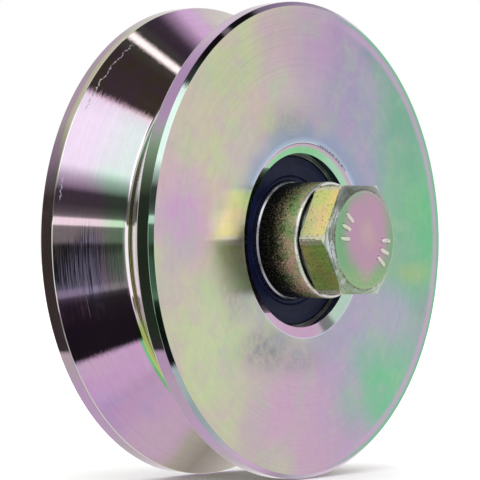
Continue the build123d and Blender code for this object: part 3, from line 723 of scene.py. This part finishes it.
def bolt_material():
    m, g = material("zinc_forged_bolt")
    mm, x, y, z, rho, ang = g.millimetres()
    n_mid = g.noise(mm, 0.22, 3.0, 0.5, distortion=0.2)
    n_fine = g.noise(mm, 1.6, 4.0, 0.65)
    pits = g.noise(mm, 4.5, 2.0, 0.5)
    pocks = g.noise(g.vmath("ADD", mm, (5.0, 9.0, 1.0)), 2.6, 1.0, 0.4)
    # top face: pink middle, green towards the rim
    r2 = g.math("SQRT", g.math("ADD", g.math("POWER", g.math("SUBTRACT", x, 0.6), 2.0), g.math("POWER", g.math("MULTIPLY", g.math("SUBTRACT", z, 1.4), 0.84), 2.0)))
    r2 = g.math("ADD", r2, g.math("MULTIPLY", g.math("SUBTRACT", n_mid, 0.5), 3.5))
    top = g.mix(g.step(r2, 5.0, 9.4), srgb(182, 146, 168), srgb(120, 168, 124))
    top = g.mix(g.math("MULTIPLY", g.step(r2, 4.2, 0.5), 0.6), top, srgb(192, 166, 164))
    top = g.mix(g.math("MULTIPLY", g.math("MULTIPLY", g.step(z, -4.0, -8.5), g.step(n_fine, 0.35, 0.6)), 0.5), top, srgb(176, 182, 130))
    side = g.mix(g.step(n_mid, 0.36, 0.64), srgb(214, 226, 142), srgb(238, 216, 156))
    side = g.mix(g.math("MULTIPLY", g.step(n_fine, 0.55, 0.75), 0.3), side, srgb(212, 214, 170))
    lower = g.math("MULTIPLY", g.step(z, 0.6, -0.6), g.step(x, 2.0, -2.0))
    side = g.mix(g.math("MULTIPLY", lower, 0.85), side, g.mix(g.step(n_mid, 0.40, 0.66, 0.0, 0.6), srgb(168, 204, 116), srgb(190, 180, 104)))
    worn = g.noise(g.combine(g.math("MULTIPLY", rho, 2.6), g.math("MULTIPLY", ang, 0.05), g.math("MULTIPLY", y, 2.6)), 1.0, 4.0, 0.7)
    skin = g.mix(g.step(worn, 0.40, 0.56), srgb(196, 206, 208), srgb(128, 138, 118))
    skin = g.mix(g.math("MULTIPLY", g.step(worn, 0.56, 0.66), 0.8), skin, srgb(70, 74, 60))
    # painted shade: the head's skin darker towards the top
    skin = g.mix(g.math("MULTIPLY", g.step(g.math("ADD", z, g.math("MULTIPLY", n_mid, 5.0)), 6.5, 10.0), 0.85), skin, srgb(92, 98, 88))
    skin = g.mix(g.math("MULTIPLY", g.step(pocks, 0.62, 0.7), 0.6), skin, srgb(84, 86, 80))
    skin = g.mix(g.math("MULTIPLY", g.math("MULTIPLY", g.step(z, -2.0, -7.0), g.step(n_mid, 0.38, 0.62, 0.5, 1.0)), 0.85), skin, srgb(146, 172, 124))
    on_top = g.math("MULTIPLY", g.step(y, -29.85, -30.0), g.step(rho, 10.05, 9.9))
    side_on = g.math("MULTIPLY", g.math("ADD", g.band(y, -28.75, -22.75, 0.15), g.band(y, 28.5, 36.8, 0.2), clamp=True), g.step(rho, 10.85, 10.95))
    film = g.mix(g.step(n_mid, 0.35, 0.65), srgb(206, 196, 150), srgb(176, 196, 150))
    skin = g.mix(g.math("MULTIPLY", g.step(y, -20.0, 0.0), 0.7), skin, film)
    base = g.mix(side_on, skin, side)
    base = g.mix(on_top, base, top)
    # the raised marks' tops and the hex corners and edges are painted near-white: partly bare worn metal, partly
    # painted highlight
    raised = g.math("MULTIPLY", g.step(y, -30.22, -30.38), on_top)
    geo = g.node("ShaderNodeNewGeometry")
    corner = g.math("MULTIPLY", g.step(rho, 12.05, 12.3), side_on)
    rim_y = g.math("ADD", -30.0, g.math("MULTIPLY", g.math("SUBTRACT", rho, 10.05), 0.5774))
    turned = g.step(g.math("ABSOLUTE", g.math("SUBTRACT", y, g.math("ADD", rim_y, 0.08))), 0.20, 0.05)
    turned = g.math("MULTIPLY", turned, g.step(rho, 11.0, 12.7, 0.12, 0.6))
    edge = g.math("MAXIMUM", corner, g.math("MAXIMUM", turned, g.math("MULTIPLY", g.step(geo.outputs["Pointiness"], 0.52, 0.56), g.math("SUBTRACT", 1.0, on_top))))
    edge = g.math("MULTIPLY", edge, g.step(n_fine, 0.25, 0.5, 0.3, 1.0))
    base = g.mix(g.math("MULTIPLY", edge, 0.6), base, srgb(224, 224, 226))
    base = g.mix(g.math("MULTIPLY", raised, g.step(n_fine, 0.3, 0.5, 0.35, 0.8)), base, srgb(224, 222, 206))
    specks = g.noise(g.vmath("ADD", mm, (1.0, 4.0, 6.0)), 2.4, 1.0, 0.4)
    base = g.mix(g.math("MULTIPLY", g.math("MULTIPLY", g.step(specks, 0.66, 0.71), side_on), 0.8), base, srgb(70, 72, 40))
    dark = g.math("MULTIPLY", g.step(pits, 0.64, 0.72), g.math("SUBTRACT", 1.0, g.math("MULTIPLY", on_top, 0.8)))
    rim_dirt = g.math("MULTIPLY", g.math("MULTIPLY", g.band(rho, 9.95, 10.35, 0.12), g.step(y, -28.5, -29.0)), g.step(n_fine, 0.42, 0.56, 0.15, 0.75))
    dark = g.math("MAXIMUM", dark, g.math("MULTIPLY", rim_dirt, 0.8))
    base = g.mix(g.math("MULTIPLY", dark, 0.8), base, srgb(48, 50, 40))
    rough = g.linear(n_fine, 0.3, 0.7, 0.10, 0.24)
    rough = g.math("ADD", rough, g.math("ADD", g.math("MULTIPLY", dark, 0.3), g.math("MULTIPLY", edge, 0.12)))
    nb = g.bump(n_fine, 0.12, 0.0002)
    nb = g.bump(g.math("ADD", pits, pocks), 0.14, 0.00012, nb)
    g.surface(Base_Color=base, Metallic=1.0, Roughness=rough, Normal=nb)
    return m


def bush_material():
    m, g = material("zinc_turned_bush")
    mm, x, y, z, rho, ang = g.millimetres()
    n_mid = g.noise(mm, 0.35, 3.0, 0.6)
    n_fine = g.noise(mm, 1.1, 4.0, 0.7)
    speck = g.noise(mm, 3.4, 2.0, 0.6)
    grit = g.noise(g.vmath("ADD", mm, (3.0, 7.0, 2.0)), 2.6, 3.0, 0.7)
    line_ = g.noise(None, 5.0, 2.0, 0.6, dims="1D", w=y)
    base = g.mix(g.step(n_mid, 0.4, 0.60), srgb(150, 180, 112), srgb(206, 184, 148))
    base = g.mix(g.math("MULTIPLY", g.step(speck, 0.54, 0.64), 0.75), base, srgb(226, 214, 178))
    # painted shade: darker patches that grow deeper along the bush, and a near-black inner half towards the wheel
    depth_shade = g.math("MULTIPLY", g.math("SUBTRACT", 18.0, g.math("ABSOLUTE", y)), 0.035)
    dark = g.step(g.math("ADD", grit, depth_shade), 0.50, 0.60)
    shade = g.mix(g.step(speck, 0.50, 0.62), srgb(26, 28, 27), srgb(86, 78, 62))
    base = g.mix(g.math("MULTIPLY", dark, 0.94), base, shade)
    inward_shade = g.step(g.math("ADD", g.math("ABSOLUTE", y), g.math("MULTIPLY", g.math("SUBTRACT", n_mid, 0.5), 5.0)), 19.2, 14.0)
    base = g.mix(g.math("MULTIPLY", inward_shade, g.step(speck, 0.66, 0.52, 0.35, 0.94)), base, srgb(22, 24, 24))
    # the rim at the open end is painted near-white: partly bare turned metal, partly painted highlight
    rim = g.step(g.math("ABSOLUTE", y), 20.95, 21.1)
    base = g.mix(g.math("MULTIPLY", rim, g.step(grit, 0.62, 0.52, 0.25, 0.95)), base, srgb(232, 232, 228))
    shade_in = g.math("MULTIPLY", g.step(rho, 11.5, 11.2), g.step(g.math("ABSOLUTE", y), 21.3, 21.55))
    base = g.mix(g.math("MULTIPLY", shade_in, 0.85), base, srgb(34, 34, 30))
    rough = g.linear(speck, 0.3, 0.7, 0.16, 0.34)
    rough = g.math("ADD", rough, g.math("MULTIPLY", rim, 0.10))
    nb = g.bump(g.math("ADD", n_fine, g.math("MULTIPLY", line_, 0.3)), 0.16, 0.00025)
    g.surface(Base_Color=base, Metallic=g.math("ADD", 0.72, g.math("MULTIPLY", rim, 0.28)), Roughness=rough, Normal=nb)
    return m


def washer_material():
    m, g = material("zinc_pressed_washer")
    mm, x, y, z, rho, ang = g.millimetres()
    n_mid = g.noise(mm, 0.16, 3.0, 0.55, distortion=0.4)
    n_fine = g.noise(mm, 1.4, 4.0, 0.65)
    base = g.ramp(n_mid, [(0.25, srgb(196, 170, 206)), (0.45, srgb(206, 200, 156)), (0.6, srgb(150, 196, 158)), (0.75, srgb(200, 172, 196))])
    tone = g.math("ADD", 0.9, g.math("MULTIPLY", g.math("SUBTRACT", n_fine, 0.5), 0.3))
    base = g.mix(1.0, base, g.combine(tone, tone, tone), "MULTIPLY")
    rough = g.linear(n_fine, 0.3, 0.7, 0.2, 0.36)
    g.surface(Base_Color=base, Metallic=1.0, Roughness=rough, Normal=g.bump(n_fine, 0.18, 0.0002))
    return m


def steel_material(name, colour, low, high, scale=2.0, turned=True, strength=0.08):
    m, g = material(name)
    mm, x, y, z, rho, ang = g.millimetres()
    n_fine = g.noise(mm, scale, 3.0, 0.6)
    smear = g.noise(mm, 0.25, 2.0, 0.5)
    line_ = g.noise(None, 7.0, 2.0, 0.6, dims="1D", w=g.math("ADD", rho, y))
    tone = g.math("ADD", 0.94, g.math("MULTIPLY", g.math("SUBTRACT", smear, 0.5), 0.18))
    base = g.mix(1.0, colour, g.combine(tone, tone, tone), "MULTIPLY")
    # painted shade: a dark band 17.2-18.6 mm from the axle, where the outer ring meets the seal
    ring_gap_shade = g.math("MULTIPLY", g.band(rho, 17.2, 18.6, 0.15), g.step(smear, 0.2, 0.5, 0.8, 1.0))
    if turned:
        base = g.mix(g.math("MULTIPLY", ring_gap_shade, 0.85), base, srgb(46, 42, 36))
    rough = g.linear(n_fine, 0.3, 0.7, low, high)
    h = g.math("ADD", g.math("MULTIPLY", n_fine, 0.5), g.math("MULTIPLY", line_, 0.6)) if turned else n_fine
    g.surface(Base_Color=base, Metallic=1.0, Roughness=rough, Normal=g.bump(h, strength, 0.0001))
    return m


def rubber_material():
    m, g = material("moulded_nitrile_rubber")
    mm, x, y, z, rho, ang = g.millimetres()
    n_fine = g.noise(mm, 3.0, 4.0, 0.65)
    dust = g.noise(mm, 0.35, 3.0, 0.6)
    base = g.mix(g.step(dust, 0.40, 0.72), srgb(7, 13, 42), srgb(15, 24, 60))
    rough = g.linear(n_fine, 0.3, 0.7, 0.36, 0.52)
    g.surface(Base_Color=base, Metallic=0.0, Roughness=rough, Normal=g.bump(n_fine, 0.15, 0.0001), Specular_IOR_Level=0.14)
    return m


def spring_steel_material():
    m, g = material("phosphated_spring_steel")
    mm, x, y, z, rho, ang = g.millimetres()
    n_fine = g.noise(mm, 2.5, 4.0, 0.65)
    wear = g.noise(mm, 0.5, 3.0, 0.6)
    base = g.mix(g.step(wear, 0.4, 0.7), srgb(38, 40, 46), srgb(66, 68, 74))
    geo = g.node("ShaderNodeNewGeometry")
    base = g.mix(g.math("MULTIPLY", g.step(geo.outputs["Pointiness"], 0.52, 0.58), 0.5), base, srgb(130, 130, 132))
    rough = g.linear(n_fine, 0.3, 0.7, 0.38, 0.55)
    g.surface(Base_Color=base, Metallic=0.85, Roughness=rough, Normal=g.bump(n_fine, 0.2, 0.0001))
    return m


mats = {
    "wheel_zinc": wheel_material(),
    "bolt_zinc": bolt_material(),
    "bush_zinc": bush_material(),
    "washer_zinc": washer_material(),
    "spring_steel_black": spring_steel_material(),
    "bearing_steel": steel_material("ground_bearing_steel", srgb(178, 178, 186), 0.2, 0.3, strength=0.02),
    "ball_steel": steel_material("lapped_ball_steel", srgb(222, 222, 224), 0.04, 0.08, turned=False, strength=0.01),
    "cage_steel": steel_material("pressed_cage_steel", srgb(178, 178, 180), 0.28, 0.42, turned=False, strength=0.12),
    "seal_rubber": rubber_material(),
}


def dress(ob, mat):
    ob.data.materials.clear()
    ob.data.materials.append(mat)


slots = {
    "plain_washer": "washer_zinc", "spring_washer": "washer_zinc", "bearing_circlip": "spring_steel_black",
}
for side in ("front", "back"):
    slots[f"{side}_outer_ring"] = slots[f"{side}_inner_ring"] = "bearing_steel"
    slots[f"{side}_balls"] = "ball_steel"
    for part in ("cage_outboard", "cage_inboard", "cage_rivets"):
        slots[f"{side}_{part}"] = "cage_steel"
    for part in ("seal_outboard", "seal_inboard"):
        slots[f"{side}_{part}"] = "seal_rubber"
for n, s in slots.items():
    for ms in nodes[n].material_slots:
        ms.material = mats[s]
dress(wheel, mats["wheel_zinc"])
dress(bolt, mats["bolt_zinc"])
dress(nut, mats["bolt_zinc"])
for side in ("front", "back"):
    dress(bpy.data.objects[f"{side}_bush_turned"], mats["bush_zinc"])

# ================================================================== floor, light and camera
floor_me = bpy.data.meshes.new("studio_floor")
bm = bmesh.new()
bmesh.ops.create_circle(bm, cap_ends=True, radius=6.0, segments=96)
bm.to_mesh(floor_me)
bm.free()
floor = bpy.data.objects.new("studio_floor", floor_me)
floor.location = (0, 0, -R * MM - 0.0002)
scene.collection.objects.link(floor)
m, g = material("studio_floor_white")
t = g.node("ShaderNodeTexCoord")
g.surface(Base_Color=g.mix(g.step(g.noise(t.outputs["Object"], 6.0, 2.0), 0.3, 0.7), (0.90, 0.90, 0.90), (0.92, 0.92, 0.92)), Roughness=0.9, Specular_IOR_Level=0.0)
dress(floor, m)
floor.visible_glossy = False

world = bpy.data.worlds.new("soft_studio")
scene.world = world
world.use_nodes = True
g = Graph(world.node_tree)
tc = g.node("ShaderNodeTexCoord")
sep = g.node("ShaderNodeSeparateXYZ")
g.put(g.vmath("NORMALIZE", tc.outputs["Generated"]), sep.inputs[0])
dx, dy, dz = sep.outputs
el = g.math("MULTIPLY", g.math("ARCSINE", dz), 180 / math.pi)
az = g.math("MULTIPLY", g.math("ARCTAN2", dx, g.math("MULTIPLY", dy, -1.0)), 180 / math.pi)
e01 = g.linear(el, -90, 90)


def panel(stops):
    return g.ramp(e01, [((e + 90) / 180, v) for e, v in stops])


# The studio: a softbox up to the left, dark flags on the camera's left with two thin light slits, white walls to the right, a soft low fill.
left = panel([
    (-90, 1.04), (-43.6, 1.04), (-43.1, 0.02), (-27, 0.02), (-23, 0.03), (-20.5, 0.10), (-19.6, 0.42), (-18.2, 0.42), (-16, 0.34), (-6, 0.30), (-4, 0.20), (-2, 0.16), (-0.5, 0.30), (4.5, 0.30),
    (5.7, 0.40), (6.3, 1.6), (8.5, 1.6), (9.2, 0.30), (11.0, 0.16), (14.0, 0.08), (18.5, 0.09), (20.5, 0.45), (24, 0.95), (28, 1.9), (46, 1.95), (53.4, 1.75), (54.0, 0.07), (90, 0.07),
])
right_ = panel([(-90, 1.0), (-58, 0.9), (-48, 0.60), (-42, 0.72), (-30, 0.95), (0, 1.02), (40, 0.98), (50, 0.85), (54, 0.42), (58, 0.07), (90, 0.05)])
back = panel([(-90, 0.75), (-39.0, 0.70), (-38.0, 0.05), (-5, 0.04), (16, 0.05), (24, 0.22), (33, 0.55), (43, 1.05), (55, 1.0), (90, 0.9)])
rear = panel([(-90, 0.85), (-40, 0.75), (0, 0.9), (25, 0.85), (45, 1.0), (90, 0.95)])
flank_side = panel([(-90, 0.8), (-40, 0.6), (-36, 0.16), (20, 0.16), (30, 0.5), (60, 0.9), (90, 0.6)])
# the flags' left part brightens towards the right, so turned lines catch it
dim = g.math("MULTIPLY", g.band(el, -17.5, -0.5, 1.0), g.step(az, -39.6, -41.6))
left = g.mix(dim, left, g.mix(0.9, left, (0.0, 0.0, 0.0)))
el2 = g.math("MULTIPLY", el, el)
# below the softbox the flags are narrow curved strips, so that only surfaces at 45 degrees to the axle catch them
curve = g.math("ADD", az, g.math("SUBTRACT", 41.0, g.math("MULTIPLY", el2, 0.0060)))
spare = g.step(el, -28.0, -36.0, 0.0, 5.0)
strip = g.math("MULTIPLY", g.step(g.math("ADD", curve, spare), -5.2, -3.8), g.step(g.math("SUBTRACT", curve, spare), 5.2, 3.8))
strip_top = g.math("MULTIPLY", g.step(az, -66, -62), g.step(curve, 6.5, 4.5))
wide = g.math("MULTIPLY", g.step(az, -66, -62), g.step(az, -1, -10))
w_left = g.mix(g.step(el, 20.5, 21.5), g.mix(g.step(el, 7.0, 9.0), strip, strip_top), wide)
az_back = g.math("MULTIPLY", g.math("ARCTAN2", g.math("MULTIPLY", dx, -1.0), dy), 180 / math.pi)  # 0 straight behind the wheel, positive to the left
w_back = g.band(g.math("ADD", az_back, g.math("SUBTRACT", g.math("MULTIPLY", el2, 0.0098), 52.0)), -8.0, 8.0, 1.5)
w_side = g.band(az_back, 61.5, 116.0, 2.0)
behind = g.math("ADD", g.step(az, 118, 142), g.step(az, -114, -136), clamp=True)
w_side = g.math("MULTIPLY", w_side, g.math("SUBTRACT", 1.0, w_back))
w_right = g.math("SUBTRACT", 1.0, g.math("ADD", g.math("ADD", w_left, w_side), w_back, clamp=True), clamp=True)
level = g.math("ADD", g.math("MULTIPLY", left, w_left), g.math("ADD", g.math("MULTIPLY", g.mix(behind, right_, rear), w_right), g.math("ADD", g.math("MULTIPLY", back, w_back), g.math("MULTIPLY", flank_side, w_side))))
slit = g.math("MULTIPLY", g.math("MULTIPLY", g.band(az, 35.5, 44.5, 1.0), g.step(el, 57, 60)), 1.6)
level = g.math("ADD", level, slit)
# a white sheet beside the camera, and a shaded seam in the right-hand wall
sheet = g.math("MULTIPLY", g.math("MULTIPLY", g.band(az, -113.0, -44.6, 0.7), g.band(el, -30.0, 8.5, 1.0)), 1.15)
level = g.math("MAXIMUM", level, sheet)
seam = g.math("MULTIPLY", g.math("MULTIPLY", g.band(az, 35.5, 46.0, 1.5), g.band(el, 20.0, 49.0, 2.5)), 0.62)
level = g.math("MULTIPLY", level, g.math("SUBTRACT", 1.0, seam))
paths = g.node("ShaderNodeLightPath")
studio = g.node("ShaderNodeBackground")
g.put(g.combine(level, level, level), studio.inputs[0])
even = g.node("ShaderNodeBackground")
even.inputs[0].default_value = (1, 1, 1, 1)
even.inputs[1].default_value = 1.7
backdrop = g.node("ShaderNodeBackground")
backdrop.inputs[0].default_value = (1, 1, 1, 1)
backdrop.inputs[1].default_value = 1.0
mix1, mix2, out = g.node("ShaderNodeMixShader"), g.node("ShaderNodeMixShader"), g.node("ShaderNodeOutputWorld")
g.put(paths.outputs["Is Diffuse Ray"], mix1.inputs[0])
g.put(studio.outputs[0], mix1.inputs[1])
g.put(even.outputs[0], mix1.inputs[2])
g.put(paths.outputs["Is Camera Ray"], mix2.inputs[0])
g.put(mix1.outputs[0], mix2.inputs[1])
g.put(backdrop.outputs[0], mix2.inputs[2])
g.put(mix2.outputs[0], out.inputs[0])

cam_data = bpy.data.cameras.new("camera")
cam_data.sensor_width = 36.0
cam_data.lens = 233.4
cam_data.clip_start, cam_data.clip_end = 0.05, 50.0
cam = bpy.data.objects.new("camera", cam_data)
scene.collection.objects.link(cam)
right_v = Vector((0.62144866, -0.78342831, -0.00645366))
up_v = Vector((0.00385971, -0.00517585, 0.99997916))
fwd = Vector((0.78344538, 0.62146062, 0.00019272))
mat = Matrix((right_v, up_v, -fwd)).transposed().to_4x4()
mat.translation = Vector((-0.50913856, -0.40162754, 0.0))
cam.matrix_world = mat
scene.camera = cam
scene.view_settings.view_transform = "Standard"
scene.view_settings.look = "None"
